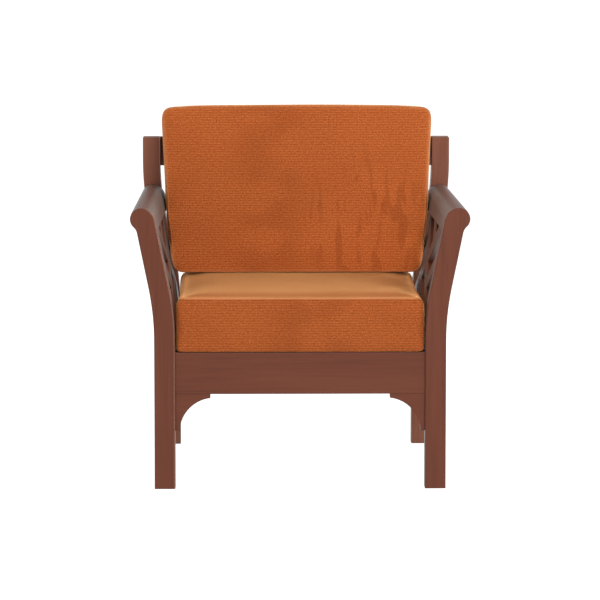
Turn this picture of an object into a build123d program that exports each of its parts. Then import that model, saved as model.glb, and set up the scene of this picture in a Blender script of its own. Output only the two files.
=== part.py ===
from build123d import *
import os
from math import asin, cos, hypot, radians, sin, sqrt, tan

# Single-seat sofa: a wooden frame with flared, latticed arms and two loose cushions.
# Millimetres, +Z up, the front faces -Y, and left and right are as seen from the front.

# Seat frame
seat_width = 561.0
frame_depth = 700.0
seat_rail_top = 308.0
seat_rail_height = 94.0

# Front posts and the scrolled arm section
front_post_width = 46.5
front_post_depth = 46.0
flare_start = 335.0
flare_radius = 600.0
flare_angle = 11.5
arm_height = 633.0
roll_radius = 24.5
roll_overhang = 9.1
roll_fillet = 22.0
arm_rail_height = 53.0
arm_rail_toe = 8.5
post_bevel = 1.6

# Back posts, which flare like the front ones and end upright
back_post_width = 41.5
back_post_depth = 50.0
back_post_height = 746.5
upright_head = 58.0
swing_out = 47.0

# Rails, mortises and tenons
apron_thickness = 25.0
apron_setback = 7.0
apron_round = 2.0
side_rail_thickness = 28.0
rear_apron_thickness = 25.0
rear_apron_setback = 12.0
tenon_thickness = 10.0
tenon_shoulder = 10.0
tenon_length = 20.0
stub_length = 12.0
tenon_gap = 0.2
mortise_gap = 1.0
arm_tenon_width = 14.0
arm_tenon_height = 26.0

# Brackets under the front apron
bracket_width = 79.0
bracket_height = 83.0
bracket_end = 9.0
bracket_tip = 10.0
bracket_radius = 78.0
bracket_setback = 1.0

# Arm lattice: two crossed bars and four short ones, curved like the posts
lattice_recess = 3.0
lattice_thickness = 18.0
bar_width = 40.0
bar_angle = 24.0
bar_spacing = 90.0
crossing_drop = 97.0

# Back: raked slats from a low cross rail to the crest rail
back_rake = 12.0
slat_foot_inset = 127.0
back_slat_count = 5
back_slat_width = 45.0
back_slat_thickness = 15.0
back_slat_spacing = 105.0
low_rail_top = 280.0
low_rail_height = 60.0
low_rail_depth = 34.0
low_rail_margin = 7.0
crest_height = 68.0
crest_thickness = 27.0
crest_proud = 4.0
crest_round = 3.0

# Seat deck
deck_slat_count = 7
deck_slat_width = 60.0
deck_slat_thickness = 18.0
deck_slat_gap = 1.0
deck_front_gap = 6.0
deck_back_gap = 8.0
cleat_width = 22.0
cleat_height = 24.0
block_leg = 54.0
block_height = 30.0
block_lift = 5.0

# Countersunk wood screws
screw_diameter = 4.0
screw_head = 8.0
screw_length = 36.0
screw_gap = 0.2
screw_inset = 11.0
cleat_screw_count = 4
cleat_screw_length = 38.0

# Cushions: a sewn cover round a foam core
cushion_gap = 0.3
seat_cushion_side_gap = 2.0
seat_cushion_setback = 5.0
seat_cushion_back_gap = 7.0
seat_cushion_height = 124.0
seat_cushion_crown = 6.0
seat_cushion_corner = 26.0
seat_cushion_swell = 3.0
seat_cushion_edge = 14.0
crown_run = 170.0
back_cushion_height = 363.0
back_cushion_thickness = 140.0
back_cushion_foot_half = 289.5
back_cushion_head_half = 321.5
back_cushion_taper = 0.62
back_cushion_swell = 12.0
back_cushion_corner = 34.0
back_cushion_back_gap = 0.5
drawn_in = 3.0
core_inset = 18.0

# Places that follow from the sizes above
front_y = -frame_depth / 2
back_y = frame_depth / 2
inner_x = seat_width / 2
post_rear_y = front_y + front_post_depth
back_front_y = back_y - back_post_depth
seat_rail_bottom = seat_rail_top - seat_rail_height
seat_rail_middle = (seat_rail_top + seat_rail_bottom) / 2
side_rail_x = inner_x + lattice_recess
side_rail_run = back_front_y - post_rear_y
side_rail_y = (back_front_y + post_rear_y) / 2
tenon_height = seat_rail_height - 2 * tenon_shoulder
apron_y = front_y + apron_setback
rear_apron_y = back_front_y + rear_apron_setback
arm_rail_underside = arm_height - arm_rail_height
crossing_height = arm_rail_underside - crossing_drop
crest_underside = back_post_height - crest_height
swing_end = back_post_height - upright_head
slat_foot_y = back_y - slat_foot_inset
rake_slope = tan(radians(back_rake))
swing_sin, swing_cos = sin(radians(flare_angle)), cos(radians(flare_angle))


def slat_front(z):
    """Front face of the raked back at a height."""
    return slat_foot_y + (z - low_rail_top) * rake_slope


def arc_middle(centre, start, end):
    """Middle of the shorter arc from start to end about a centre."""
    radius = hypot(start[0] - centre[0], start[1] - centre[1])
    dx = (start[0] + end[0]) / 2 - centre[0]
    dy = (start[1] + end[1]) / 2 - centre[1]
    scale = radius / hypot(dx, dy)
    return (centre[0] + dx * scale, centre[1] + dy * scale)


def flare_points(x):
    """Foot of the flare, its bend and a middle point of it, for an edge that starts upright at x."""
    foot = (x, flare_start)
    bend = (x + flare_radius * (1 - swing_cos), flare_start + flare_radius * swing_sin)
    return foot, arc_middle((x + flare_radius, flare_start), foot, bend), bend


def write(piece, label):
    piece.label = label
    export_step(piece, f"parts/{label}.step")


def write_pair(piece, label):
    """The right-hand piece and its mirror image on the left."""
    write(piece, label + "_right")
    with BuildPart() as other:
        mirror(piece, about=Plane.YZ)
    write(other.part, label + "_left")


os.makedirs("parts", exist_ok=True)

# The arm section: flared post edges, a roll at the top outside and a round shoulder inside
inner_foot, inner_middle, inner_bend = flare_points(inner_x)
outer_foot, outer_middle, outer_bend = flare_points(inner_x + front_post_width)
roll_z = arm_height - roll_radius
outer_at_roll = outer_bend[0] + (roll_z - outer_bend[1]) * swing_sin / swing_cos
roll_centre = (outer_at_roll + roll_overhang - roll_radius, roll_z)
apex = (roll_centre[0], arm_height)
shoulder_reach = (apex[0] - inner_bend[0]) * swing_cos - (apex[1] - inner_bend[1]) * swing_sin
shoulder_radius = shoulder_reach / (1 - swing_sin)
shoulder_centre = (apex[0], apex[1] - shoulder_radius)
shoulder = (
    shoulder_centre[0] - shoulder_radius * swing_cos,
    shoulder_centre[1] + shoulder_radius * swing_sin,
)
# The hollow below the roll touches the roll and the outer edge
hollow_start = (outer_bend[0] + roll_fillet * swing_cos, outer_bend[1] - roll_fillet * swing_sin)
away = (hollow_start[0] - roll_centre[0], hollow_start[1] - roll_centre[1])
along = away[0] * swing_sin + away[1] * swing_cos
reach = (roll_radius + roll_fillet) ** 2
climb = -along - sqrt(along**2 - away[0] ** 2 - away[1] ** 2 + reach)
hollow_centre = (hollow_start[0] + climb * swing_sin, hollow_start[1] + climb * swing_cos)
hollow_foot = (
    hollow_centre[0] - roll_fillet * swing_cos,
    hollow_centre[1] + roll_fillet * swing_sin,
)
hollow_share = roll_fillet / (roll_radius + roll_fillet)
hollow_head = (
    hollow_centre[0] + (roll_centre[0] - hollow_centre[0]) * hollow_share,
    hollow_centre[1] + (roll_centre[1] - hollow_centre[1]) * hollow_share,
)

with BuildSketch() as arm_section:
    with BuildLine():
        Polyline((inner_x + front_post_width, 0), (inner_x, 0), inner_foot)
        ThreePointArc(inner_foot, inner_middle, inner_bend)
        Line(inner_bend, shoulder)
        ThreePointArc(shoulder, arc_middle(shoulder_centre, shoulder, apex), apex)
        ThreePointArc(apex, arc_middle(roll_centre, apex, hollow_head), hollow_head)
        ThreePointArc(hollow_head, arc_middle(hollow_centre, hollow_head, hollow_foot), hollow_foot)
        Line(hollow_foot, outer_bend)
        ThreePointArc(outer_bend, outer_middle, outer_foot)
        Line(outer_foot, (inner_x + front_post_width, 0))
    make_face()

# Tenons of the arm rails, at both ends
arm_tenon_x = (shoulder[0] + hollow_foot[0]) / 2
arm_tenon_z = (arm_rail_underside + arm_height) / 2

with BuildPart() as front_post:
    with BuildSketch(Plane.XZ.offset(-front_y)):
        add(arm_section.sketch)
    extrude(amount=-front_post_depth)
    front_face = front_post.faces().filter_by(Axis.Y).sort_by(Axis.Y)[0]
    chamfer(front_face.edges().sort_by(Axis.Z)[1:], length=post_bevel)
    with Locations((inner_x, apron_y + apron_thickness / 2, seat_rail_middle)):
        Box(
            2 * (tenon_length + mortise_gap),
            tenon_thickness + 2 * tenon_gap,
            tenon_height + 2 * tenon_gap,
            mode=Mode.SUBTRACT,
        )
    with Locations((side_rail_x + side_rail_thickness / 2, post_rear_y, seat_rail_middle)):
        Box(
            tenon_thickness + 2 * tenon_gap,
            2 * (stub_length + mortise_gap),
            tenon_height + 2 * tenon_gap,
            mode=Mode.SUBTRACT,
        )
    with Locations((arm_tenon_x, post_rear_y, arm_tenon_z)):
        Box(
            arm_tenon_width + 2 * tenon_gap,
            2 * (tenon_length + mortise_gap),
            arm_tenon_height + 2 * tenon_gap,
            mode=Mode.SUBTRACT,
        )
write_pair(front_post.part, "front_post")

with BuildPart() as arm_rail:
    with BuildSketch(Plane.XZ.offset(-post_rear_y)):
        add(arm_section.sketch)
        with Locations((0, arm_rail_underside)):
            Rectangle(
                4 * inner_x, arm_height, align=(Align.CENTER, Align.MIN), mode=Mode.INTERSECT
            )
    extrude(amount=hypot(arm_rail_toe, side_rail_run), dir=(-arm_rail_toe, side_rail_run, 0))
    with Locations((arm_tenon_x, side_rail_y, arm_tenon_z)):
        Box(arm_tenon_width, side_rail_run + 2 * tenon_length, arm_tenon_height)
write_pair(arm_rail.part, "arm_rail")

# Back posts: two equal arcs carry the post outwards
swing_height = (swing_end - flare_start) / 2
swing_middle = (swing_end + flare_start) / 2
swing_radius = (swing_height**2 + (swing_out / 2) ** 2) / swing_out
half_turn = asin(swing_height / swing_radius) / 2
arc_out = swing_radius * (1 - cos(half_turn))
arc_up = swing_radius * sin(half_turn)
back_outer_x = inner_x + back_post_width

with BuildSketch() as back_section:
    with BuildLine():
        for x in (inner_x, back_outer_x):
            Line((x, 0), (x, flare_start))
            ThreePointArc(
                (x, flare_start),
                (x + arc_out, flare_start + arc_up),
                (x + swing_out / 2, swing_middle),
            )
            ThreePointArc(
                (x + swing_out / 2, swing_middle),
                (x + swing_out - arc_out, swing_end - arc_up),
                (x + swing_out, swing_end),
            )
            Line((x + swing_out, swing_end), (x + swing_out, back_post_height))
        Line((inner_x, 0), (back_outer_x, 0))
        Line((inner_x + swing_out, back_post_height), (back_outer_x + swing_out, back_post_height))
    make_face()

# Crest rail tenons sit at the middle of the tilted rail
crest_middle = (crest_underside + back_post_height) / 2
crest_tenon_y = slat_front(crest_middle) - crest_proud + crest_thickness / 2
crest_tenon_height = back_post_height - crest_underside - 2 * tenon_shoulder
crest_end_x = inner_x + swing_out

with BuildPart() as back_blank:
    with BuildSketch(Plane.XZ.offset(-back_front_y)):
        add(back_section.sketch)
    extrude(amount=-back_post_depth)

with BuildPart() as back_post:
    add(back_blank.part)
    top_face = back_post.faces().sort_by(Axis.Z)[-1]
    chamfer(top_face.edges(), length=post_bevel)
    with Locations((inner_x, rear_apron_y + rear_apron_thickness / 2, seat_rail_middle)):
        Box(
            2 * (tenon_length + mortise_gap),
            tenon_thickness + 2 * tenon_gap,
            tenon_height + 2 * tenon_gap,
            mode=Mode.SUBTRACT,
        )
    with Locations((side_rail_x + side_rail_thickness / 2, back_front_y, seat_rail_middle)):
        Box(
            tenon_thickness + 2 * tenon_gap,
            2 * (stub_length + mortise_gap),
            tenon_height + 2 * tenon_gap,
            mode=Mode.SUBTRACT,
        )
    with Locations((arm_tenon_x, back_front_y, arm_tenon_z)):
        Box(
            arm_tenon_width + 2 * tenon_gap,
            2 * (tenon_length + mortise_gap),
            arm_tenon_height + 2 * tenon_gap,
            mode=Mode.SUBTRACT,
        )
    with Locations((crest_end_x, crest_tenon_y, crest_middle)):
        Box(
            2 * (tenon_length + mortise_gap),
            tenon_thickness + 2 * tenon_gap,
            crest_tenon_height + 2 * tenon_gap,
            mode=Mode.SUBTRACT,
        )
write_pair(back_post.part, "back_post")

# Seat frame rails
with BuildPart() as front_apron:
    with Locations((0, apron_y + apron_thickness / 2, seat_rail_middle)):
        Box(seat_width, apron_thickness, seat_rail_height)
    apron_front = front_apron.faces().sort_by(Axis.Y)[0]
    fillet(apron_front.edges().filter_by(Axis.X), radius=apron_round)
    with Locations((0, apron_y + apron_thickness / 2, seat_rail_middle)):
        Box(seat_width + 2 * tenon_length, tenon_thickness, tenon_height)
write(front_apron.part, "front_apron")

with BuildPart() as rear_apron:
    with Locations((0, rear_apron_y + rear_apron_thickness / 2, seat_rail_middle)):
        Box(seat_width + back_post_width, rear_apron_thickness, seat_rail_height)
    add(back_blank.part, mode=Mode.SUBTRACT)
    add(mirror(back_blank.part, about=Plane.YZ, mode=Mode.PRIVATE), mode=Mode.SUBTRACT)
    with Locations((0, rear_apron_y + rear_apron_thickness / 2, seat_rail_middle)):
        Box(seat_width + 2 * tenon_length, tenon_thickness, tenon_height)
write(rear_apron.part, "rear_apron")

low_rail_y = slat_foot_y - low_rail_margin + low_rail_depth / 2
low_rail_z = low_rail_top - low_rail_height / 2
low_tenon_height = low_rail_height - 2 * tenon_shoulder

# Cleats are screwed to the insides of the side rails
cleat_top = seat_rail_top - deck_slat_thickness
cleat_z = cleat_top - cleat_height / 2
cleat_x = side_rail_x - cleat_width / 2
deck_start = post_rear_y + deck_front_gap
deck_end = slat_front(cleat_top) - deck_back_gap
cleat_end = low_rail_y - low_rail_depth / 2
cleat_run = cleat_end - post_rear_y
cleat_y = (cleat_end + post_rear_y) / 2
cleat_screw_pitch = cleat_run / cleat_screw_count
cleat_face = side_rail_x - cleat_width
cleat_screw_start = cleat_y - (cleat_screw_count - 1) / 2 * cleat_screw_pitch
cleat_screws_at = [
    Location((cleat_face, cleat_screw_start + i * cleat_screw_pitch, cleat_z), (0, -90, 0))
    for i in range(cleat_screw_count)
]
deck_pitch = (deck_end - deck_start - deck_slat_width) / (deck_slat_count - 1)
deck_half = side_rail_x - deck_slat_gap
deck_screw_x = side_rail_x - screw_inset
deck_y = [deck_start + deck_slat_width / 2 + i * deck_pitch for i in range(deck_slat_count)]
deck_screws_at = [(side * deck_screw_x, y, seat_rail_top) for y in deck_y for side in (-1, 1)]
head_height = (screw_head - screw_diameter) / 2


def screw_form(length, gap):
    """A countersunk screw standing on the origin, head level with it and point down, or its hole."""
    with BuildPart() as form:
        with BuildSketch(Plane.XZ):
            with BuildLine():
                Polyline(
                    (0, 0),
                    (screw_head / 2 + gap, 0),
                    (screw_diameter / 2 + gap, -head_height),
                    (screw_diameter / 2 + gap, screw_diameter - length - gap),
                    (0, -length - gap),
                    close=True,
                )
            make_face()
        revolve(axis=Axis.Z)
    return form.part


deck_screw_hole = screw_form(screw_length, screw_gap)
cleat_screw_hole = screw_form(cleat_screw_length, screw_gap)

with BuildPart() as side_rail:
    with Locations((side_rail_x + side_rail_thickness / 2, side_rail_y, seat_rail_middle)):
        Box(side_rail_thickness, side_rail_run, seat_rail_height)
        Box(tenon_thickness, side_rail_run + 2 * stub_length, tenon_height)
    with Locations((side_rail_x, low_rail_y, low_rail_z)):
        Box(
            2 * (stub_length + mortise_gap),
            tenon_thickness + 2 * tenon_gap,
            low_tenon_height + 2 * tenon_gap,
            mode=Mode.SUBTRACT,
        )
    with Locations(*cleat_screws_at):
        add(cleat_screw_hole, mode=Mode.SUBTRACT)
write_pair(side_rail.part, "side_rail")

with BuildPart() as low_rail:
    with Locations((0, low_rail_y, low_rail_z)):
        Box(2 * side_rail_x, low_rail_depth, low_rail_height)
        Box(2 * (side_rail_x + stub_length), tenon_thickness, low_tenon_height)
write(low_rail.part, "back_low_rail")

with BuildPart() as crest_rail:
    with BuildSketch(Plane.YZ):
        with BuildLine():
            Polyline(
                (slat_front(crest_underside) - crest_proud, crest_underside),
                (slat_front(back_post_height) - crest_proud, back_post_height),
                (slat_front(back_post_height) - crest_proud + crest_thickness, back_post_height),
                (slat_front(crest_underside) - crest_proud + crest_thickness, crest_underside),
                close=True,
            )
        make_face()
    extrude(amount=crest_end_x + back_post_width / 2, both=True)
    crest_top = crest_rail.faces().sort_by(Axis.Z)[-1]
    fillet(crest_top.edges().filter_by(Axis.X), radius=crest_round)
    add(back_blank.part, mode=Mode.SUBTRACT)
    add(mirror(back_blank.part, about=Plane.YZ, mode=Mode.PRIVATE), mode=Mode.SUBTRACT)
    with Locations((0, crest_tenon_y, crest_middle)):
        Box(2 * (crest_end_x + tenon_length), tenon_thickness, crest_tenon_height)
write(crest_rail.part, "crest_rail")

# Raked back slats between the low rail and the crest rail
with BuildPart() as back_slat:
    with BuildSketch(Plane.YZ):
        with BuildLine():
            Polyline(
                (slat_front(low_rail_top), low_rail_top),
                (slat_front(crest_underside), crest_underside),
                (slat_front(crest_underside) + back_slat_thickness, crest_underside),
                (slat_front(low_rail_top) + back_slat_thickness, low_rail_top),
                close=True,
            )
        make_face()
    extrude(amount=back_slat_width / 2, both=True)
    fillet(back_slat.edges().filter_by(Plane.YZ).filter_by(Axis.Y, reverse=True), radius=apron_round)

for i in range(back_slat_count):
    slat_x = (i - (back_slat_count - 1) / 2) * back_slat_spacing
    with BuildPart() as placed_slat:
        with Locations((slat_x, 0, 0)):
            add(back_slat.part)
    write(placed_slat.part, f"back_slat_{i + 1}")

# Curved brackets in the corners under the front apron
bracket_start = (inner_x - bracket_width, seat_rail_bottom - bracket_end)
bracket_stop = (inner_x - bracket_tip, seat_rail_bottom - bracket_height)
chord = (bracket_stop[0] - bracket_start[0], bracket_stop[1] - bracket_start[1])
chord_length = hypot(*chord)
rise = bracket_radius - sqrt(bracket_radius**2 - chord_length**2 / 4)
bracket_middle = (
    (bracket_start[0] + bracket_stop[0]) / 2 - chord[1] / chord_length * rise,
    (bracket_start[1] + bracket_stop[1]) / 2 + chord[0] / chord_length * rise,
)
with BuildPart() as bracket:
    with BuildSketch(Plane.XZ.offset(-apron_y - bracket_setback)):
        with BuildLine():
            Polyline(
                bracket_stop,
                (inner_x, seat_rail_bottom - bracket_height),
                (inner_x, seat_rail_bottom),
                (inner_x - bracket_width, seat_rail_bottom),
                bracket_start,
            )
            ThreePointArc(bracket_start, bracket_middle, bracket_stop)
        make_face()
    extrude(amount=bracket_setback - apron_thickness)
write_pair(bracket.part, "front_bracket")

# Glue blocks in the four inner corners of the seat frame
block_z = seat_rail_bottom + block_lift
block_corners = {
    "front": (apron_y + apron_thickness, post_rear_y, 1),
    "back": (rear_apron_y, back_front_y, -1),
}
for end, (rail_face, post_face, way) in block_corners.items():
    with BuildPart() as block:
        with BuildSketch(Plane.XY.offset(block_z)):
            with BuildLine():
                Polyline(
                    (inner_x - block_leg, rail_face),
                    (inner_x, rail_face),
                    (inner_x, post_face),
                    (side_rail_x, post_face),
                    (side_rail_x, post_face + way * (block_leg - low_rail_margin)),
                    close=True,
                )
            make_face()
        extrude(amount=block_height)
    write_pair(block.part, f"corner_block_{end}")

# Seat deck: cleats, cross slats and their screws
with BuildPart() as cleat:
    with Locations((cleat_x, cleat_y, cleat_z)):
        Box(cleat_width, cleat_run, cleat_height)
    with Locations(*deck_screws_at):
        add(deck_screw_hole, mode=Mode.SUBTRACT)
    with Locations(*cleat_screws_at):
        add(cleat_screw_hole, mode=Mode.SUBTRACT)
write_pair(cleat.part, "deck_cleat")

for i, y in enumerate(deck_y):
    with BuildPart() as deck_slat:
        with Locations((0, y, seat_rail_top - deck_slat_thickness / 2)):
            Box(2 * deck_half, deck_slat_width, deck_slat_thickness)
        with Locations(*deck_screws_at):
            add(deck_screw_hole, mode=Mode.SUBTRACT)
    write(deck_slat.part, f"deck_slat_{i + 1}")

with BuildPart() as deck_screws:
    with Locations(*deck_screws_at):
        add(screw_form(screw_length, 0))
write(deck_screws.part, "deck_screws")

with BuildPart() as cleat_screws:
    with Locations(*cleat_screws_at):
        add(screw_form(cleat_screw_length, 0))
    mirror(about=Plane.YZ)
write(cleat_screws.part, "cleat_screws")

# Arm lattice. The bars share one curved slab, split at its middle for the half-lap
lattice_middle_y = side_rail_y
bar_reach = 2 * side_rail_run


def slab_outline(start, thickness):
    """A band that follows the inner edge of the posts, from start to start plus thickness outwards."""
    edges = [flare_points(inner_x + lattice_recess + start + shift) for shift in (0, thickness)]
    tops = [
        (bend[0] + (arm_height - bend[1]) * swing_sin / swing_cos, arm_height)
        for foot, middle, bend in edges
    ]
    with BuildSketch() as outline:
        with BuildLine():
            for (foot, middle, bend), top in zip(edges, tops):
                Line((foot[0], seat_rail_bottom), foot)
                ThreePointArc(foot, middle, bend)
                Line(bend, top)
            Line((edges[0][0][0], seat_rail_bottom), (edges[1][0][0], seat_rail_bottom))
            Line(tops[0], tops[1])
        make_face()
    return outline.sketch


def lattice_slab(start, thickness):
    with BuildPart() as slab:
        with BuildSketch(Plane.XZ.offset(-post_rear_y)):
            add(slab_outline(start, thickness))
        extrude(amount=-side_rail_run)
    return slab.part


whole_slab = lattice_slab(0, lattice_thickness)
inner_slab = lattice_slab(0, lattice_thickness / 2)
outer_slab = lattice_slab(lattice_thickness / 2, lattice_thickness / 2)


def strip(turn, shift):
    """A bar's straight outline across the arm, turned from level and shifted square to its run."""
    with Locations(Location((lattice_middle_y, crossing_height), turn)):
        with Locations((0, shift)):
            Rectangle(bar_reach, bar_width)


def keep_to_arm():
    """Trim to the opening between the posts, the side rail and the arm rail."""
    with Locations((lattice_middle_y, seat_rail_top)):
        Rectangle(
            side_rail_run,
            arm_rail_underside - seat_rail_top,
            align=(Align.CENTER, Align.MIN),
            mode=Mode.INTERSECT,
        )


def keep_beside(turn, side):
    """Trim to one side of a crossed bar."""
    with Locations(Location((lattice_middle_y, crossing_height), turn)):
        with Locations((0, side * (bar_width / 2 + bar_reach / 2))):
            Rectangle(bar_reach, bar_reach, mode=Mode.INTERSECT)


bar_plane = Plane.YZ.offset(inner_x)
bar_sweep = 3 * front_post_width

# name, turn, shift, the crossed bar that the short one meets, and the side of it
lattice_bars = [
    ("arm_bar_falling", -bar_angle, 0, None, 0),
    ("arm_bar_rising", bar_angle, 0, None, 0),
    ("arm_bar_top", bar_angle, bar_spacing, -bar_angle, 1),
    ("arm_bar_front", -bar_angle, -bar_spacing, bar_angle, 1),
    ("arm_bar_bottom", bar_angle, -bar_spacing, -bar_angle, -1),
    ("arm_bar_back", -bar_angle, bar_spacing, bar_angle, -1),
]
half_laps = {"arm_bar_falling": (bar_angle, outer_slab), "arm_bar_rising": (-bar_angle, inner_slab)}

for name, turn, shift, meets, side in lattice_bars:
    with BuildPart() as bar:
        with BuildSketch(bar_plane):
            strip(turn, shift)
            keep_to_arm()
            if meets is not None:
                keep_beside(meets, side)
        extrude(amount=bar_sweep)
        add(whole_slab, mode=Mode.INTERSECT)
    if name in half_laps:
        cross_turn, half_slab = half_laps[name]
        with BuildPart() as lap:
            with BuildSketch(bar_plane):
                strip(cross_turn, 0)
            extrude(amount=bar_sweep)
            add(half_slab, mode=Mode.INTERSECT)
        with BuildPart() as lapped:
            add(bar.part)
            add(lap.part, mode=Mode.SUBTRACT)
        write_pair(lapped.part, name)
    else:
        write_pair(bar.part, name)


# Cushions: lofts through rounded outlines, drawn in at the edges and between the corners
def cushion_outline(half, front, back, corner, swell):
    """A rounded outline whose sides are drawn in and whose front swells out."""
    middle = (front + back) / 2
    skew = corner * (1 - sqrt(0.5))
    left, right = -half, half
    with BuildSketch() as outline:
        with BuildLine():
            ThreePointArc((left + corner, front), (0, front - swell), (right - corner, front))
            ThreePointArc((right - corner, front), (right - skew, front + skew), (right, front + corner))
            ThreePointArc((right, front + corner), (right - drawn_in, middle), (right, back - corner))
            ThreePointArc((right, back - corner), (right - skew, back - skew), (right - corner, back))
            Line((right - corner, back), (left + corner, back))
            ThreePointArc((left + corner, back), (left + skew, back - skew), (left, back - corner))
            ThreePointArc((left, back - corner), (left + drawn_in, middle), (left, front + corner))
            ThreePointArc((left, front + corner), (left + skew, front + skew), (left + corner, front))
        make_face()
    return outline.sketch


seat_cushion_bottom = seat_rail_top + cushion_gap
seat_cushion_half = inner_x - seat_cushion_side_gap
seat_cushion_front = front_y + seat_cushion_setback
seat_cushion_back = slat_front(seat_cushion_bottom) - seat_cushion_back_gap

# Height above the bottom and inset of each outline: a round edge below, another above, then the crown
edge_turns = [radians(turn) for turn in (0, 22.5, 45, 67.5, 90)]
low_edge = [(seat_cushion_edge * (1 - cos(t)), seat_cushion_edge * (1 - sin(t))) for t in edge_turns]
high_edge = [(seat_cushion_height - level, inset) for level, inset in reversed(low_edge)]
crown_edge = [
    (seat_cushion_height + seat_cushion_crown * (1 - (1 - t) ** 2), seat_cushion_edge + t * crown_run)
    for t in (0.25, 0.5, 0.75, 1)
]
seat_levels = low_edge + high_edge + crown_edge


def seat_cushion_form():
    """The seat cushion's outer form."""
    with BuildPart() as form:
        for level, inset in seat_levels:
            with BuildSketch(Plane.XY.offset(seat_cushion_bottom + level)):
                add(
                    cushion_outline(
                        seat_cushion_half - inset,
                        seat_cushion_front + inset,
                        seat_cushion_back - inset,
                        seat_cushion_corner,
                        seat_cushion_swell,
                    )
                )
        loft(ruled=True)
    return form.part


back_cushion_bottom = seat_cushion_bottom + seat_cushion_height + seat_cushion_crown + cushion_gap
back_cushion_run = back_cushion_thickness / cos(radians(back_rake))
back_levels = [
    (0, 16),
    (6, 6),
    (18, 1),
    (40, 0),
    (back_cushion_height * 0.3, 0),
    (back_cushion_height * 0.6, 0),
    (back_cushion_height - 44, 0),
    (back_cushion_height - 18, 2),
    (back_cushion_height - 7, 9),
    (back_cushion_height, 26),
]


def back_cushion_rear(z):
    """Rear face of the back cushion at a height, where it leans on the crest rail."""
    return slat_front(z) - crest_proud - back_cushion_back_gap


def back_cushion_form():
    """The back cushion's outer form: level where it stands, square to the rake at its head and wider there."""
    with BuildPart() as form:
        for level, inset in back_levels:
            share = level / back_cushion_height
            height = back_cushion_bottom + level
            widening = share**back_cushion_taper
            half = back_cushion_foot_half + (back_cushion_head_half - back_cushion_foot_half) * widening
            tilt = radians(back_rake * share)
            plane = Plane(
                origin=(0, back_cushion_rear(height), height),
                x_dir=(1, 0, 0),
                z_dir=(0, sin(tilt), cos(tilt)),
            )
            with BuildSketch(plane):
                add(
                    cushion_outline(
                        half - inset,
                        inset - back_cushion_run,
                        -inset,
                        back_cushion_corner,
                        back_cushion_swell * (0.25 + 3 * share * (1 - share)),
                    )
                )
        loft()
    return form.part


# Foam cores, plain blocks inside the covers
with BuildPart() as seat_core:
    with Locations((0, (seat_cushion_front + seat_cushion_back) / 2, seat_cushion_bottom + core_inset)):
        Box(
            2 * (seat_cushion_half - core_inset),
            seat_cushion_back - seat_cushion_front - 2 * core_inset,
            seat_cushion_height - 2 * core_inset,
            align=(Align.CENTER, Align.CENTER, Align.MIN),
        )
write(seat_core.part, "seat_cushion_core")

with BuildPart() as seat_cover:
    add(seat_cushion_form())
    add(seat_core.part, mode=Mode.SUBTRACT)
write(seat_cover.part, "seat_cushion_cover")

core_low = back_cushion_bottom + core_inset
core_high = back_cushion_bottom + back_cushion_height - core_inset
with BuildPart() as back_core:
    with BuildSketch(Plane.YZ):
        with BuildLine():
            Polyline(
                (back_cushion_rear(core_low) - core_inset, core_low),
                (back_cushion_rear(core_high) - core_inset, core_high),
                (back_cushion_rear(core_high) - back_cushion_run + core_inset, core_high),
                (back_cushion_rear(core_low) - back_cushion_run + core_inset, core_low),
                close=True,
            )
        make_face()
    extrude(amount=back_cushion_foot_half - core_inset, both=True)
write(back_core.part, "back_cushion_core")

with BuildPart() as back_cover:
    add(back_cushion_form())
    add(back_core.part, mode=Mode.SUBTRACT)
write(back_cover.part, "back_cushion_cover")
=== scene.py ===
from math import cos, pi, radians, tan

import bpy
import numpy as np
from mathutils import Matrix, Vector, noise


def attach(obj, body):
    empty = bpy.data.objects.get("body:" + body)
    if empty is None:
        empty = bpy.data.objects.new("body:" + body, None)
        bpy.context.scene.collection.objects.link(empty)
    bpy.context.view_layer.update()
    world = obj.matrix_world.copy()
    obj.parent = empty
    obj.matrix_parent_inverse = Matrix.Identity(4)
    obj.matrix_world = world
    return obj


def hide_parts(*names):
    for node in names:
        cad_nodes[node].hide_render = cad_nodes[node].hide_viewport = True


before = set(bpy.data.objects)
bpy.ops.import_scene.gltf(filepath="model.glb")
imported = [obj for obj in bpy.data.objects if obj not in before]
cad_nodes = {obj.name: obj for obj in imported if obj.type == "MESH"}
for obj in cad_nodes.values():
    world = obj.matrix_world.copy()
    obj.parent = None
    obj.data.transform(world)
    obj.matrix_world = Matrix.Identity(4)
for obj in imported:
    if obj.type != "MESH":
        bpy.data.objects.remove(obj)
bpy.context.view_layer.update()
scene = bpy.context.scene

# Places that the cushions share with the frame, in metres
FRONT_Y = -0.350
DECK_TOP = 0.308
CUSHION_GAP = 0.0003
RAKE_ANGLE = radians(12)
BACK_RAKE = tan(RAKE_ANGLE)
SLAT_FOOT = Vector((0, 0.223, 0.280))
CREST_AHEAD = 0.0045

SEAT_HALF = 0.2790
SEAT_FRONT = FRONT_Y + 0.005
SEAT_BOTTOM = DECK_TOP + CUSHION_GAP
SEAT_HEIGHT = 0.124
SEAT_CROWN = 0.006

BACK_BOTTOM = SEAT_BOTTOM + SEAT_HEIGHT + SEAT_CROWN + CUSHION_GAP
BACK_HEIGHT = 0.363
BACK_THICKNESS = 0.140
BACK_RUN = BACK_THICKNESS / cos(RAKE_ANGLE)
BACK_FOOT_HALF = 0.2895
BACK_HEAD_HALF = 0.3215


def slat_front(z):
    """Front face of the raked slats at a height."""
    return SLAT_FOOT.y + (z - SLAT_FOOT.z) * BACK_RAKE


def crest_front(z):
    """Plane that the back cushion leans on at a height."""
    return slat_front(z) - CREST_AHEAD


# Shader helpers

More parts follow.
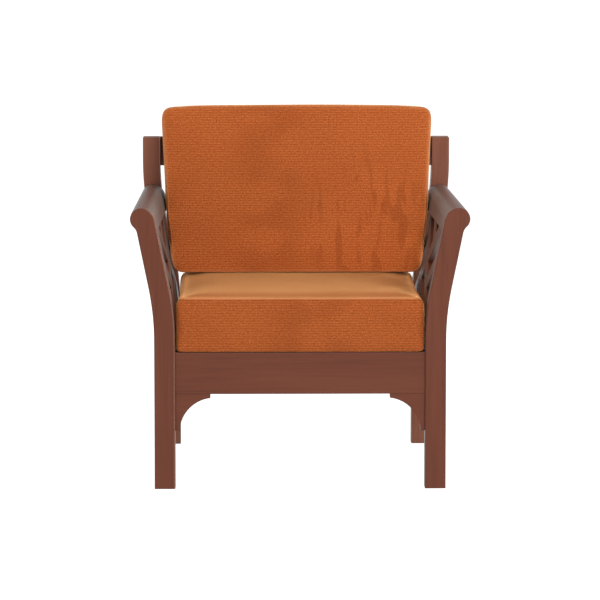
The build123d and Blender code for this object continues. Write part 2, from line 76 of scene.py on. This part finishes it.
def add_node(tree, kind, inputs=None, **settings):
    """A node with its settings, and its inputs either linked or set."""
    made = tree.nodes.new(kind)
    for key, value in settings.items():
        setattr(made, key, value)
    for key, value in (inputs or {}).items():
        if isinstance(value, bpy.types.NodeSocket):
            tree.links.new(value, made.inputs[key])
        else:
            made.inputs[key].default_value = value
    return made


def reckon(tree, operation, first, second=0.0, third=0.0):
    return add_node(tree, "ShaderNodeMath", {0: first, 1: second, 2: third}, operation=operation).outputs[0]


def between(tree, value, low, high, start=0.0, end=1.0):
    """Value eased from one range to another."""
    ease = {0: value, 1: low, 2: high, 3: start, 4: end}
    return add_node(tree, "ShaderNodeMapRange", ease, interpolation_type="SMOOTHSTEP").outputs[0]


def tint(tree, share, low, high, way="MIX"):
    """Two colours mixed by a share."""
    return add_node(
        tree, "ShaderNodeMix", {0: share, 6: low, 7: high}, data_type="RGBA", blend_type=way
    ).outputs[2]


def stretched(tree, vector, scale):
    return add_node(
        tree, "ShaderNodeVectorMath", {0: vector, 1: scale}, operation="MULTIPLY"
    ).outputs[0]


def parts_of(tree, vector):
    """The X, Y and Z of a vector."""
    return add_node(tree, "ShaderNodeSeparateXYZ", {0: vector}).outputs


def place_of(tree):
    """Each spot's place in its object."""
    return add_node(tree, "ShaderNodeTexCoord").outputs["Object"]


def mottle(tree, vector, detail=2.0, roughness=0.5, distortion=0.0):
    """Noise between 0 and 1 at the scale of its vector."""
    made = add_node(
        tree,
        "ShaderNodeTexNoise",
        {"Vector": vector, "Scale": 1.0, "Detail": detail, "Roughness": roughness, "Distortion": distortion},
    )
    return made.outputs[0]


def start_group(name, inputs, outputs):
    """An empty node group with its inputs' sockets and its output node."""
    group = bpy.data.node_groups.new(name, "ShaderNodeTree")
    for kind, label, value in inputs:
        socket = group.interface.new_socket(label, in_out="INPUT", socket_type="NodeSocket" + kind)
        socket.default_value = value
    for kind, label in outputs:
        group.interface.new_socket(label, in_out="OUTPUT", socket_type="NodeSocket" + kind)
    return group, group.nodes.new("NodeGroupInput").outputs, group.nodes.new("NodeGroupOutput").inputs


# Mahogany grain: streaks, pores and a broad figure along the X of the turned coordinates
grain, given, out = start_group(
    "mahogany grain",
    [
        ("Vector", "Turn", (0, 0, 0)),
        ("Color", "Deep", (0.08, 0.02, 0.01, 1)),
        ("Color", "Body", (0.16, 0.05, 0.03, 1)),
        ("Color", "Light", (0.24, 0.09, 0.05, 1)),
        ("Float", "Polish", 0.35),
    ],
    [("Color", "Color"), ("Float", "Roughness"), ("Float", "Height")],
)
place = place_of(grain)
board = add_node(grain, "ShaderNodeObjectInfo").outputs["Random"]
cut = add_node(
    grain, "ShaderNodeVectorRotate", {"Vector": place, "Rotation": given["Turn"]}, rotation_type="EULER_XYZ"
).outputs[0]
board = add_node(grain, "ShaderNodeCombineXYZ", {0: board, 1: board, 2: board}).outputs[0]
apart = stretched(grain, board, (9, 5, 7))
cut = add_node(grain, "ShaderNodeVectorMath", {0: cut, 1: apart}, operation="ADD").outputs[0]
figure = mottle(grain, stretched(grain, cut, (2.2, 13, 13)), 2.0, 0.5, 0.4)
streaks = mottle(grain, stretched(grain, cut, (6, 170, 170)), 3.0, 0.55)
pores = mottle(grain, stretched(grain, cut, (60, 900, 900)), 2.0, 0.5)
wood_colour = tint(grain, between(grain, streaks, 0.22, 0.62, 0.35, 1.0), given["Deep"], given["Body"])
wood_colour = tint(grain, between(grain, figure, 0.36, 0.72, 0.0, 0.5), wood_colour, given["Light"])
pore_mask = between(grain, pores, 0.60, 0.74, 0.0, 0.30)
wood_colour = tint(grain, pore_mask, wood_colour, given["Deep"])
grain.links.new(wood_colour, out["Color"])
grain.links.new(
    reckon(grain, "ADD", given["Polish"], reckon(grain, "MULTIPLY", streaks, 0.12)), out["Roughness"]
)
grain.links.new(reckon(grain, "MULTIPLY_ADD", pore_mask, -1.0, streaks), out["Height"])

# Ribbed chenille: level ribs with nubs of pile, and soft marks where the pile is brushed the other way
weave, given, out = start_group(
    "ribbed chenille",
    [
        ("Color", "Deep", (0.2, 0.04, 0.01, 1)),
        ("Color", "Body", (0.4, 0.09, 0.025, 1)),
        ("Color", "Light", (0.55, 0.17, 0.06, 1)),
        ("Color", "Painted highlight colour", (0.50, 0.28, 0.13, 1)),
        ("Float", "Rib", 0.0057),
        ("Float", "Brushed", 0.3),
        ("Float", "Patched", 0.1),
        ("Float", "Painted highlight share", 0.0),
    ],
    [("Color", "Color"), ("Float", "Roughness"), ("Float", "Height")],
)
spot = add_node(weave, "ShaderNodeTexCoord").outputs
place = parts_of(weave, spot["Object"])
facing = parts_of(weave, spot["Normal"])
level = reckon(weave, "GREATER_THAN", reckon(weave, "ABSOLUTE", facing[2]), 0.72)
sideways = reckon(weave, "GREATER_THAN", reckon(weave, "ABSOLUTE", facing[0]), 0.72)
across = add_node(weave, "ShaderNodeMix", {0: level, 2: place[2], 3: place[1]}).outputs[0]
along = add_node(weave, "ShaderNodeMix", {0: sideways, 2: place[0], 3: place[1]}).outputs[0]
wander = mottle(weave, stretched(weave, spot["Object"], (30, 30, 60)), 1.0)
row = reckon(weave, "DIVIDE", reckon(weave, "MULTIPLY_ADD", wander, 0.0016, across), given["Rib"])
rib = reckon(weave, "MULTIPLY_ADD", reckon(weave, "SINE", reckon(weave, "MULTIPLY", row, 2 * pi)), 0.5, 0.5)
stitch = reckon(weave, "DIVIDE", along, reckon(weave, "MULTIPLY", given["Rib"], 1.3))
thread = add_node(weave, "ShaderNodeCombineXYZ", {0: stitch, 1: row, 2: 0.0}).outputs[0]
nub = mottle(weave, stretched(weave, thread, (2.0, 1.4, 1.0)), 2.0, 0.6)
fleck = mottle(weave, stretched(weave, thread, (2.9, 2.6, 1.0)), 2.0, 0.6)
pile = reckon(weave, "MULTIPLY_ADD", nub, 0.66, reckon(weave, "MULTIPLY", fleck, 0.50))
pile = reckon(weave, "MULTIPLY_ADD", rib, 0.13, pile)
cloth_colour = tint(weave, between(weave, pile, 0.36, 0.64), given["Deep"], given["Body"])
cloth_colour = tint(weave, between(weave, pile, 0.60, 0.86, 0.0, 0.8), cloth_colour, given["Light"])
strokes = mottle(weave, stretched(weave, spot["Object"], (44, 20, 10)), 1.5, 0.5, 0.6)
patches = mottle(weave, stretched(weave, spot["Object"], (9, 9, 12)), 1.5, 0.5)
brush = reckon(weave, "MULTIPLY", between(weave, strokes, 0.52, 0.63), given["Brushed"])
patch = reckon(weave, "MULTIPLY", between(weave, patches, 0.36, 0.60), given["Patched"])
brush = reckon(weave, "MAXIMUM", brush, patch)
cloth_colour = tint(weave, brush, cloth_colour, given["Deep"])
# Painted highlight: a pale colour is added by its share, standing in for light caught along the cushions'
# rounded seams
cloth_colour = tint(weave, given["Painted highlight share"], cloth_colour, given["Painted highlight colour"], "ADD")
weave.links.new(cloth_colour, out["Color"])
weave.links.new(reckon(weave, "MULTIPLY_ADD", fleck, 0.2, 0.72), out["Roughness"])
weave.links.new(pile, out["Height"])


def start_material(name, **sockets):
    """A material with its Principled BSDF and the plain values on that shader's own sockets."""
    material = bpy.data.materials.new(name)
    material.use_nodes = True
    shader = material.node_tree.nodes["Principled BSDF"]
    for label, value in sockets.items():
        shader.inputs[label.replace("_", " ")].default_value = value
    return material, material.node_tree, shader


def dress(tree, shader, group, values, strength, distance, edge=0.0):
    """Puts a node group on a shader: its colour, roughness and bump, over softened edges."""
    placed = add_node(tree, "ShaderNodeGroup", values, node_tree=group)
    tree.links.new(placed.outputs["Color"], shader.inputs["Base Color"])
    tree.links.new(placed.outputs["Roughness"], shader.inputs["Roughness"])
    relief = {"Height": placed.outputs["Height"], "Strength": strength, "Distance": distance}
    bump = add_node(tree, "ShaderNodeBump", relief)
    if edge:
        softened = add_node(tree, "ShaderNodeBevel", {"Radius": edge}, samples=6).outputs[0]
        tree.links.new(softened, bump.inputs["Normal"])
    tree.links.new(bump.outputs[0], shader.inputs["Normal"])
    return placed


def scaled(values, factors):
    """Group values with their colours made lighter or darker."""
    made = {}
    for label, value in values.items():
        if isinstance(value, tuple):
            value = (*(part * factor for part, factor in zip(value, factors)), 1)
        made[label] = value
    return made


MAHOGANY = {
    "Deep": (0.056, 0.0135, 0.0058, 1),
    "Body": (0.084, 0.0220, 0.0098, 1),
    "Light": (0.104, 0.0285, 0.0135, 1),
    "Polish": 0.42,
}
# Colour of the painted grazing reflection on the satin wood
GRAZING_REFLECTION_GREY = (0.125, 0.115, 0.104, 1)
# Colour of the painted highlight on the left-hand arrises
ARRIS_HIGHLIGHT_COLOUR = (0.52, 0.33, 0.26, 1)


def mahogany(name, turn, painted_lighter=(1, 1, 1), arris_highlight=0.0):
    """Satin mahogany whose grain runs along a piece: turn brings the piece's run onto X."""
    material, tree, shader = start_material(
        name,
        Coat_Weight=0.12,
        Coat_Roughness=0.3,
        Specular_IOR_Level=0.12,
    )
    # Colours scaled up by painted_lighter make a copy of the mahogany with painted light
    values = scaled(MAHOGANY, painted_lighter)
    placed = dress(tree, shader, grain, {**values, "Turn": turn}, 0.25, 0.0004, 0.0022)
    # Painted reflection: where the wood is seen almost edge on, its colour is mixed towards a dark neutral
    # tone, less so on upward faces on top of the arms, standing in for the satin finish's grazing reflection
    flat = add_node(tree, "ShaderNodeNewGeometry").outputs["Normal"]
    edge_on = add_node(tree, "ShaderNodeLayerWeight", {"Blend": 0.5}).outputs["Facing"]
    upward = between(tree, parts_of(tree, flat)[2], 0.80, 0.98, 1.0, 0.35)
    painted_reflection_share = reckon(tree, "MULTIPLY", between(tree, edge_on, 0.55, 0.88, 0.0, 0.92), upward)
    colour = tint(tree, painted_reflection_share, placed.outputs["Color"], GRAZING_REFLECTION_GREY)
    if arris_highlight:
        # Painted highlight: on the sofa's left-hand side, arrises that face the right are painted lighter,
        # standing in for the lamps' glint on them
        soft = add_node(tree, "ShaderNodeBevel", {"Radius": 0.0045}, samples=6).outputs[0]
        turned = add_node(
            tree, "ShaderNodeVectorMath", {0: flat, 1: soft}, operation="DOT_PRODUCT"
        ).outputs["Value"]
        left = between(tree, parts_of(tree, place_of(tree))[0], -0.26, -0.30)
        rightward = between(tree, parts_of(tree, soft)[0], 0.15, 0.45)
        painted_arris_highlight = reckon(tree, "MULTIPLY", left, rightward)
        painted_arris_highlight = reckon(tree, "MULTIPLY", painted_arris_highlight, between(tree, turned, 0.99, 0.90, 0.0, arris_highlight))
        colour = tint(tree, painted_arris_highlight, colour, ARRIS_HIGHLIGHT_COLOUR)
    tree.links.new(colour, shader.inputs["Base Color"])
    return material


BAR_LEAN = radians(24)
wood_across = mahogany("mahogany across", (0, 0, 0))
wood_deep = mahogany("mahogany front to back", (0, 0, -pi / 2))
# The uprights and the back posts carry the painted arris highlight
wood_upright = mahogany("mahogany upright", (0, pi / 2, 0), arris_highlight=0.7)
# The back posts use a lighter copy of the mahogany, painted light where the back cushion shades them
wood_lit_back_post = mahogany("mahogany back post painted lighter", (0, pi / 2, 0), (1.8, 2.4, 2.9), 0.7)
wood_falling = mahogany("mahogany falling bar", (BAR_LEAN, 0, -pi / 2))
wood_rising = mahogany("mahogany rising bar", (-BAR_LEAN, 0, -pi / 2))

WOOD_RUNS = [
    (wood_falling, ("arm_bar_falling", "arm_bar_front", "arm_bar_back")),
    (wood_rising, ("arm_bar_rising", "arm_bar_top", "arm_bar_bottom")),
    (wood_deep, ("arm_rail", "side_rail", "deck_cleat")),
    (wood_upright, ("front_post", "back_slat")),
    (wood_lit_back_post, ("back_post",)),
    (wood_across, ("front_apron", "rear_apron", "front_bracket", "back_low_rail")),
    (wood_across, ("crest_rail", "corner_block", "deck_slat")),
]

# Screws: turned steel with fine rings of wear
screw_steel, tree, shader = start_material("screw steel", Metallic=1.0)
scuff = mottle(tree, stretched(tree, place_of(tree), (900, 900, 900)), 3.0, 0.6)
tree.links.new(tint(tree, scuff, (0.34, 0.34, 0.35, 1), (0.56, 0.56, 0.57, 1)), shader.inputs["Base Color"])
tree.links.new(reckon(tree, "MULTIPLY_ADD", scuff, 0.25, 0.25), shader.inputs["Roughness"])

# Foam inside the covers
foam, tree, shader = start_material("cushion foam", Specular_IOR_Level=0.2)
cells = mottle(tree, stretched(tree, place_of(tree), (600, 600, 600)), 2.0, 0.6)
tree.links.new(tint(tree, cells, (0.62, 0.55, 0.38, 1), (0.80, 0.74, 0.56, 1)), shader.inputs["Base Color"])
tree.links.new(reckon(tree, "MULTIPLY_ADD", cells, 0.1, 0.85), shader.inputs["Roughness"])
tree.links.new(
    add_node(tree, "ShaderNodeBump", {"Height": cells, "Strength": 0.4, "Distance": 0.0008}).outputs[0],
    shader.inputs["Normal"],
)

CHENILLE = {
    "Deep": (0.135, 0.0225, 0.0035, 1),
    "Body": (0.255, 0.0560, 0.0115, 1),
    "Light": (0.400, 0.1120, 0.0290, 1),
    # Colour added by the painted highlight along the seams
    "Painted highlight colour": (0.420, 0.2300, 0.1000, 1),
    "Rib": 0.0057,
}
# Painted shade: factors that darken the seat's copy of the chenille
SEAT_PAINTED_SHADE = (0.86, 0.86, 0.86)
PILE_BUMP = (0.8, 0.0014)


def chenille(name):
    """Rust-orange chenille with a soft sheen."""
    return start_material(
        name,
        Sheen_Weight=0.6,
        Sheen_Roughness=0.35,
        Sheen_Tint=(1.0, 0.57, 0.22, 1),
        Specular_IOR_Level=0.08,
    )


def painted_highlight_of(tree):
    """The share of each spot that takes a painted highlight near a cushion's seams, standing in for light
    caught on the rounded edge.
    """
    return add_node(tree, "ShaderNodeAttribute", attribute_name="painted_edge_highlight").outputs["Fac"]


def aside_of(tree, middle):
    """How far each spot lies to either side of an upright line."""
    across = parts_of(tree, place_of(tree))[0]
    return reckon(tree, "ABSOLUTE", reckon(tree, "SUBTRACT", across, middle))


# Painted shade: the seat's cloth is a darker copy of the same chenille, with a patch near its middle
seat_cloth, tree, shader = chenille("seat chenille")
seat_pile = {
    **scaled(CHENILLE, SEAT_PAINTED_SHADE),
    "Brushed": 0.05,
    "Patched": between(tree, aside_of(tree, 0.015), 0.02, 0.12, 0.26, 0.10),
    "Painted highlight share": painted_highlight_of(tree),
}
dress(tree, shader, weave, seat_pile, *PILE_BUMP)

# The back cushion's pile is brushed darker in a band left of its middle, and by strokes low on its right
back_cloth, tree, shader = chenille("back chenille")
STROKES_AT = (0.17, 0.14, 0.55)
place = place_of(tree)
reach = add_node(
    tree, "ShaderNodeVectorMath", {0: place, 1: STROKES_AT}, operation="DISTANCE"
).outputs["Value"]
back_pile = {
    **CHENILLE,
    "Brushed": between(tree, reach, 0.09, 0.22, 0.38, 0.03),
    "Patched": between(tree, aside_of(tree, -0.065), 0.03, 0.11, 0.26, 0.08),
    "Painted highlight share": painted_highlight_of(tree),
}
placed = dress(tree, shader, weave, back_pile, *PILE_BUMP)
# Painted light: the colour is lightened towards the foot and the right of the cushion, where the lamps leave
# it in shade
place = parts_of(tree, place)
painted_light_low = between(tree, place[2], 0.44, 0.62, 1.17, 1.0)
painted_light_most = between(tree, place[2], 0.50, 0.74, 1.25, 1.05)
painted_light_right = between(tree, place[0], -0.04, 0.26, 1.0, painted_light_most)
painted_lighter = add_node(
    tree,
    "ShaderNodeHueSaturation",
    {"Value": reckon(tree, "MULTIPLY", painted_light_low, painted_light_right), "Color": placed.outputs["Color"]},
)
tree.links.new(painted_lighter.outputs[0], shader.inputs["Base Color"])

for name, piece in cad_nodes.items():
    finish = next((wood for wood, starts in WOOD_RUNS if name.startswith(starts)), None)
    if name.endswith("_screws"):
        finish = screw_steel
    if name.startswith(("seat_cushion", "back_cushion")):
        finish = foam
    piece.data.materials.clear()
    piece.data.materials.append(finish)


# Cushions

TOUCH = 1e-6
FOOT_REACH = 0.06
EDGE_STEPS = (0.0, 0.0024, 0.0052, 0.0090, 0.0140, 0.0205)


def graded(length, step=0.010):
    """Places along a length, close together near both ends."""
    start = EDGE_STEPS[-1]
    count = max(1, round((length - 2 * start) / step))
    inner = np.linspace(start, length - start, count + 1)[1:-1]
    return np.array([*EDGE_STEPS, *inner, *(length - e for e in reversed(EDGE_STEPS))])


def box_shell(size):
    """Points and four-sided faces over a box of panels, with one corner at zero."""
    lines = [graded(s) for s in size]
    count = [len(line) for line in lines]
    index, points, faces = {}, [], []

    def point(i, j, k):
        if (i, j, k) not in index:
            index[i, j, k] = len(points)
            points.append((lines[0][i], lines[1][j], lines[2][k]))
        return index[i, j, k]

    for i in range(count[0] - 1):
        for j in range(count[1] - 1):
            faces.append([point(i, j, 0), point(i, j + 1, 0), point(i + 1, j + 1, 0), point(i + 1, j, 0)])
            k = count[2] - 1
            faces.append([point(i, j, k), point(i + 1, j, k), point(i + 1, j + 1, k), point(i, j + 1, k)])
        for k in range(count[2] - 1):
            faces.append([point(i, 0, k), point(i + 1, 0, k), point(i + 1, 0, k + 1), point(i, 0, k + 1)])
            j = count[1] - 1
            faces.append([point(i, j, k), point(i, j, k + 1), point(i + 1, j, k + 1), point(i + 1, j, k)])
    for j in range(count[1] - 1):
        for k in range(count[2] - 1):
            faces.append([point(0, j, k), point(0, j, k + 1), point(0, j + 1, k + 1), point(0, j + 1, k)])
            i = count[0] - 1
            faces.append([point(i, j, k), point(i, j + 1, k), point(i, j + 1, k + 1), point(i, j, k + 1)])
    return np.array(points), faces


def rounded(points, size, corner, low_edge, high_edge, tight=2.0, foot=1.0):
    """Rounds a box's upright corners, the tighter the squarer, and its panels' edges, less at its foot."""
    half = np.array(size) / 2
    centred = points - half
    fullness = foot + (1 - foot) * np.clip(points[:, 1] / FOOT_REACH, 0, 1)
    edge = np.where(centred[:, 2] > 0, high_edge, low_edge) * fullness
    core = np.clip(centred[:, :2], corner - half[:2], half[:2] - corner)
    off = centred[:, :2] - core
    square = np.abs(off).max(axis=1)
    away = off / np.maximum((np.abs(off) ** tight).sum(axis=1) ** (1 / tight), 1e-9)[:, None]
    inset, drop = corner - square, half[2] - np.abs(centred[:, 2])
    lean = np.stack([np.clip(edge - inset, 0, None), np.clip(edge - drop, 0, None)], axis=1)
    turn = lean * (lean.max(axis=1) / np.maximum(np.linalg.norm(lean, axis=1), 1e-9))[:, None]
    inset = np.where(inset < edge, edge - turn[:, 0], inset)
    drop = np.where(drop < edge, edge - turn[:, 1], drop)
    plan = core + away * np.where(square > 0, corner - inset, 0.0)[:, None]
    height = np.sign(centred[:, 2]) * (half[2] - drop)
    return np.column_stack([plan, height]) + half


def seam_distance(points, size):
    """How far each point of the box is from the nearest seam, which runs round the edge of each panel."""
    size = np.array(size)
    inset = np.minimum(points[:, :2], size[:2] - points[:, :2]).min(axis=1)
    drop = np.minimum(points[:, 2], size[2] - points[:, 2])
    return np.where(drop < TOUCH, inset, drop)


def normals_of(mesh):
    found = np.zeros(len(mesh.vertices) * 3)
    mesh.vertex_normals.foreach_get("vector", found)
    return found.reshape(-1, 3)


def places_of(mesh):
    found = np.zeros(len(mesh.vertices) * 3)
    mesh.vertices.foreach_get("co", found)
    return found.reshape(-1, 3)


def set_places(mesh, places):
    mesh.vertices.foreach_set("co", places.astype(np.float32).ravel())
    mesh.update()


def inflate(piece, apart, caps, pressure=4.0, frames=20):
    """Fills a cover by cloth simulation with its seams held, each point's movement eased to its cap."""
    start = places_of(piece.data)
    seams = [int(i) for i in np.flatnonzero(apart < TOUCH)]
    piece.vertex_groups.new(name="seams").add(seams, 1.0, "REPLACE")
    filling = piece.modifiers.new("filling", "CLOTH")
    cloth = filling.settings
    cloth.quality = 6
    cloth.mass = 0.3
    cloth.air_damping = 2.0
    cloth.tension_stiffness = cloth.compression_stiffness = 18.0
    cloth.shear_stiffness = 8.0
    cloth.bending_stiffness = 1.5
    cloth.use_pressure = True
    cloth.uniform_pressure_force = pressure
    cloth.effector_weights.gravity = 0.0
    cloth.vertex_group_mass = "seams"
    filling.point_cache.frame_start, filling.point_cache.frame_end = 1, frames
    for step in range(1, frames + 1):
        scene.frame_set(step)
    filled = piece.evaluated_get(bpy.context.evaluated_depsgraph_get()).to_mesh()
    moved = places_of(filled) - start
    piece.evaluated_get(bpy.context.evaluated_depsgraph_get()).to_mesh_clear()
    piece.modifiers.remove(filling)
    piece.vertex_groups.clear()
    scene.frame_set(1)
    length = np.maximum(np.linalg.norm(moved, axis=1), 1e-9)
    reach = np.maximum(caps, 1e-9)
    return start + moved * (reach * np.tanh(length / reach) / length)[:, None]


def ripple(places, size, seed):
    """Smooth noise at each place, between about -1 and 1."""
    shift = Vector((seed * 3.1, seed * 1.7, seed * 2.3))
    return np.array([noise.noise(Vector(p) / size + shift) for p in places])


def make_cushion(name, box, places, cloth, caps, keep_clear, painted_edge_highlight):
    """A sewn cushion: filled, kept clear of its neighbours, then seamed and slightly puckered."""
    points, faces, size = box
    mesh = bpy.data.meshes.new(name)
    mesh.from_pydata([tuple(p) for p in places], [], faces)
    mesh.polygons.foreach_set("use_smooth", [True] * len(mesh.polygons))
    mesh.update()
    piece = bpy.data.objects.new(name, mesh)
    scene.collection.objects.link(piece)
    apart = seam_distance(points, size)
    places = keep_clear(inflate(piece, apart, caps))
    set_places(mesh, places)
    # A shallow groove beside each seam, puckers that fade away from it and a slow unevenness
    groove = np.select([apart < TOUCH, apart < 0.004, apart < 0.007], [0.0004, -0.0011, -0.0004], 0.0)
    pucker = 0.0007 * np.exp(-apart / 0.016) * ripple(places, 0.020, 3)
    slow = 0.0012 * np.clip(apart / 0.05, 0, 1) * ripple(places, 0.13, 7)
    places = keep_clear(places + normals_of(mesh) * (groove + pucker + slow)[:, None])
    set_places(mesh, places)
    # The share of painted highlight is kept on the mesh for the cloth's colour
    mesh.attributes.new("painted_edge_highlight", "FLOAT", "POINT").data.foreach_set("value", painted_edge_highlight.astype(np.float32))
    piece.modifiers.new("smooth cover", "SUBSURF").levels = 1
    piece.modifiers["smooth cover"].render_levels = 1
    mesh.materials.append(cloth)
    return piece


# Seat cushion
SEAT_BACK_GAP = 0.007
SEAT_DRAWN_IN = 0.005

seat_back = slat_front(SEAT_BOTTOM) - SEAT_BACK_GAP
seat_size = (2 * SEAT_HALF, seat_back - SEAT_FRONT, SEAT_HEIGHT)
seat_points, seat_faces = box_shell(seat_size)
seat_places = rounded(seat_points, seat_size, 0.024, 0.007, 0.019, 4.0)
seat_places = seat_places + np.array([-SEAT_HALF, SEAT_FRONT, SEAT_BOTTOM])
# The sides pull in between the front and rear corners
drawn_in = SEAT_DRAWN_IN * np.sin(pi * np.clip(seat_points[:, 1] / seat_size[1], 0, 1)) ** 0.6
seat_places[:, 0] *= 1 - drawn_in / SEAT_HALF
on_top = seat_points[:, 2] > SEAT_HEIGHT - TOUCH
on_front = (seat_points[:, 1] < TOUCH) & ~on_top
under = seat_points[:, 2] < TOUCH
seat_caps = np.select([under, on_top, on_front], [0.0, SEAT_CROWN, 0.0035], 0.0012)
seat_apart = seam_distance(seat_points, seat_size)
# Painted highlight on the seat's top, just inside the seam round its edge
seat_painted_highlight = on_top * 0.55 * np.exp(-(((seat_apart - 0.012) / 0.007) ** 2))


def seat_clear(places):
    """Flat on the deck, between the posts, in front of the slats and below the back cushion."""
    places = places.copy()
    places[:, 0] = np.clip(places[:, 0], -SEAT_HALF - 0.001, SEAT_HALF + 0.001)
    places[:, 1] = np.minimum(places[:, 1], slat_front(places[:, 2]) - 0.002)
    places[:, 2] = np.clip(places[:, 2], SEAT_BOTTOM, SEAT_BOTTOM + SEAT_HEIGHT + SEAT_CROWN)
    return places


seat_box = (seat_points, seat_faces, seat_size)
seat_cushion = make_cushion(
    "seat_cushion", seat_box, seat_places, seat_cloth, seat_caps, seat_clear, seat_painted_highlight
)
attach(seat_cushion, "seat_cushion")
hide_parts("seat_cushion_cover")


# Back cushion: its panels face the front and the back, and it widens towards its top
HEAD_CROWN = 0.0035
HEAD_DROP = 0.005


def back_half(share):
    """Half the width at a share of the height, with a slight bulge beside the arms."""
    bulge = 0.003 * np.exp(-(((share - 0.38) / 0.13) ** 2))
    return BACK_FOOT_HALF + (BACK_HEAD_HALF - BACK_FOOT_HALF) * share**0.62 + bulge


def lean_back(flat):
    """Stands a flat cushion, Y up and Z forwards, level on the seat and square to the rake at its head."""
    share = np.clip(flat[:, 1] / BACK_HEIGHT, 0, 1)
    side = flat[:, 0] / BACK_HEAD_HALF - 1
    rise = flat[:, 1] + share**2 * (HEAD_CROWN * (1 - side**2) - HEAD_DROP * np.abs(side) ** 8)
    z = BACK_BOTTOM + rise
    tilt = RAKE_ANGLE * share
    return np.column_stack(
        [side * back_half(share), crest_front(z) - flat[:, 2] * np.cos(tilt), z + flat[:, 2] * np.sin(tilt)]
    )


back_size = (2 * BACK_HEAD_HALF, BACK_HEIGHT, BACK_RUN)
back_points, back_faces = box_shell(back_size)
back_places = lean_back(rounded(back_points, back_size, 0.026, 0.012, 0.016, 2.6, 0.45))
in_front = back_points[:, 2] > BACK_RUN - TOUCH
behind = back_points[:, 2] < TOUCH
at_foot = (back_points[:, 1] < TOUCH) & ~in_front & ~behind
back_caps = np.select([behind, in_front, at_foot], [0.0, 0.013, 0.0005], 0.003)
# A fainter painted highlight along the back cushion's seams
back_painted_highlight = 0.12 * np.exp(-((seam_distance(back_points, back_size) / 0.006) ** 2))


# Lower inner edge of the arm rails near their rear ends, and how much they close in towards the back
RAIL_EDGE = Vector((0.3096, 0.250, 0.582))
RAIL_TOE = 0.0147


def back_clear(places):
    """Flat against the crest rail and on the seat, and pressed in where the arm rails pass."""
    places = places.copy()
    share = np.clip((places[:, 2] - BACK_BOTTOM) / (BACK_HEIGHT + 0.03), 0, 1)
    off_edge = np.clip(np.abs(places[:, 2] - RAIL_EDGE.z) - 0.010, 0, None)
    beside_rail = RAIL_EDGE.x + RAIL_TOE * (RAIL_EDGE.y - places[:, 1]) + 0.25 * off_edge
    half = np.minimum(back_half(share) + 0.002, beside_rail)
    places[:, 0] = np.clip(places[:, 0], -half, half)
    places[:, 1] = np.minimum(places[:, 1], crest_front(places[:, 2]))
    places[:, 2] = np.maximum(places[:, 2], BACK_BOTTOM)
    return places


back_box = (back_points, back_faces, back_size)
back_cushion = make_cushion(
    "back_cushion", back_box, back_places, back_cloth, back_caps, back_clear, back_painted_highlight
)
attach(back_cushion, "back_cushion")
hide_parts("back_cushion_cover")


# Stage, light and camera

def pale_floor():
    """A wide floor of one pale colour."""
    mesh = bpy.data.meshes.new("floor")
    wide = 90.0
    corners = [(-wide, -wide, 0), (wide, -wide, 0), (wide, wide, 0), (-wide, wide, 0)]
    mesh.from_pydata(corners, [], [(0, 1, 2, 3)])
    material, tree, shader = start_material("pale floor", Roughness=0.9, Specular_IOR_Level=0.1)
    shader.inputs["Base Color"].default_value = (0.25, 0.25, 0.25, 1)
    shader.inputs["Emission Color"].default_value = (1, 1, 1, 1)
    shader.inputs["Emission Strength"].default_value = 0.95
    mesh.materials.append(material)
    floor = bpy.data.objects.new("floor", mesh)
    scene.collection.objects.link(floor)


def soft_light(name, place, aim, size, power):
    lamp = bpy.data.lights.new(name, "AREA")
    lamp.shape, lamp.size, lamp.energy = "DISK", size, power
    holder = bpy.data.objects.new(name, lamp)
    holder.location = place
    holder.rotation_euler = (Vector(aim) - Vector(place)).to_track_quat("-Z", "Y").to_euler()
    scene.collection.objects.link(holder)


pale_floor()
soft_light("key light", (0.6, -2.7, 3.0), (0, 0.1, 0.6), 1.8, 112)
soft_light("right light", (3.0, -6.4, 1.9), (0, 0, 0.4), 2.6, 150)
soft_light("left light", (-3.0, -6.4, 1.6), (0, 0, 0.4), 2.6, 70)
soft_light("right rim light", (3.0, 2.2, 1.9), (0, 0, 0.5), 1.4, 110)
soft_light("left rim light", (-3.0, 2.2, 1.9), (0, 0, 0.5), 1.4, 75)

world = bpy.data.worlds.new("studio")
world.use_nodes = True
world.node_tree.nodes["Background"].inputs["Color"].default_value = (1, 1, 1, 1)
world.node_tree.nodes["Background"].inputs["Strength"].default_value = 0.60
scene.world = world
scene.view_settings.view_transform = "Standard"

lens = bpy.data.cameras.new("camera")
lens.lens, lens.sensor_width, lens.sensor_fit = 208.94, 36.0, "HORIZONTAL"
lens.clip_end = 300.0
camera = bpy.data.objects.new("camera", lens)
camera.location = (-0.1201, -8.0770, 1.3260)
camera.rotation_euler = (radians(90 - 6.634), 0, -radians(0.886))
scene.collection.objects.link(camera)
scene.camera = camera
